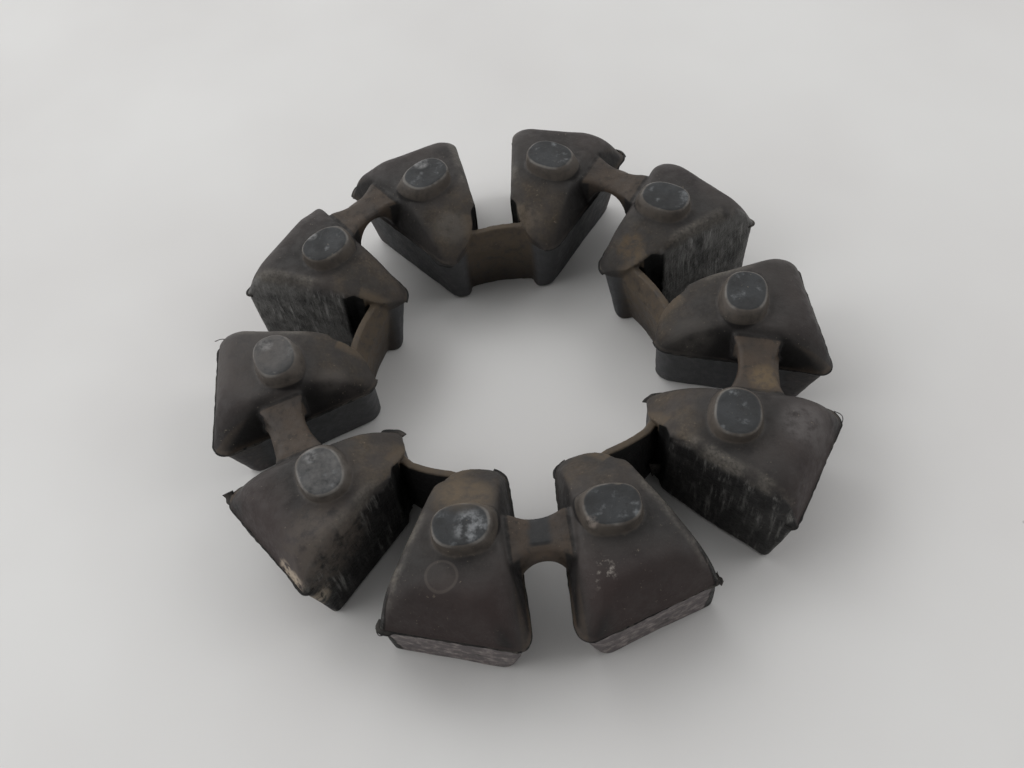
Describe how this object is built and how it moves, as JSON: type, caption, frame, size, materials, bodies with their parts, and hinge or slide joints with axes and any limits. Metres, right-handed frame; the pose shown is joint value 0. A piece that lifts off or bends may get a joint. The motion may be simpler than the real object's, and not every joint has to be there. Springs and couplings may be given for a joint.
{
  "type": "cush drive damper",
  "caption": "Rubber cush drive damper ring: wedge lugs in pairs with oval bosses, arched straps over narrow gaps and thin inner webs beside wide vane pockets.",
  "frame": {"origin": "on the ring's axis, in the plane of the lugs' undersides that it lies on", "axes": "+Z along the ring's axis towards the bosses, -Y through the middle of one pair of lugs"},
  "size_m": [0.1496, 0.1505, 0.0315],
  "materials": {
    "moulded_rubber": "matt moulded rubber, dusty and worn from use"
  },
  "bodies": {
    "root": {"damper_ring": "moulded_rubber"}
  },
  "joints": []
}
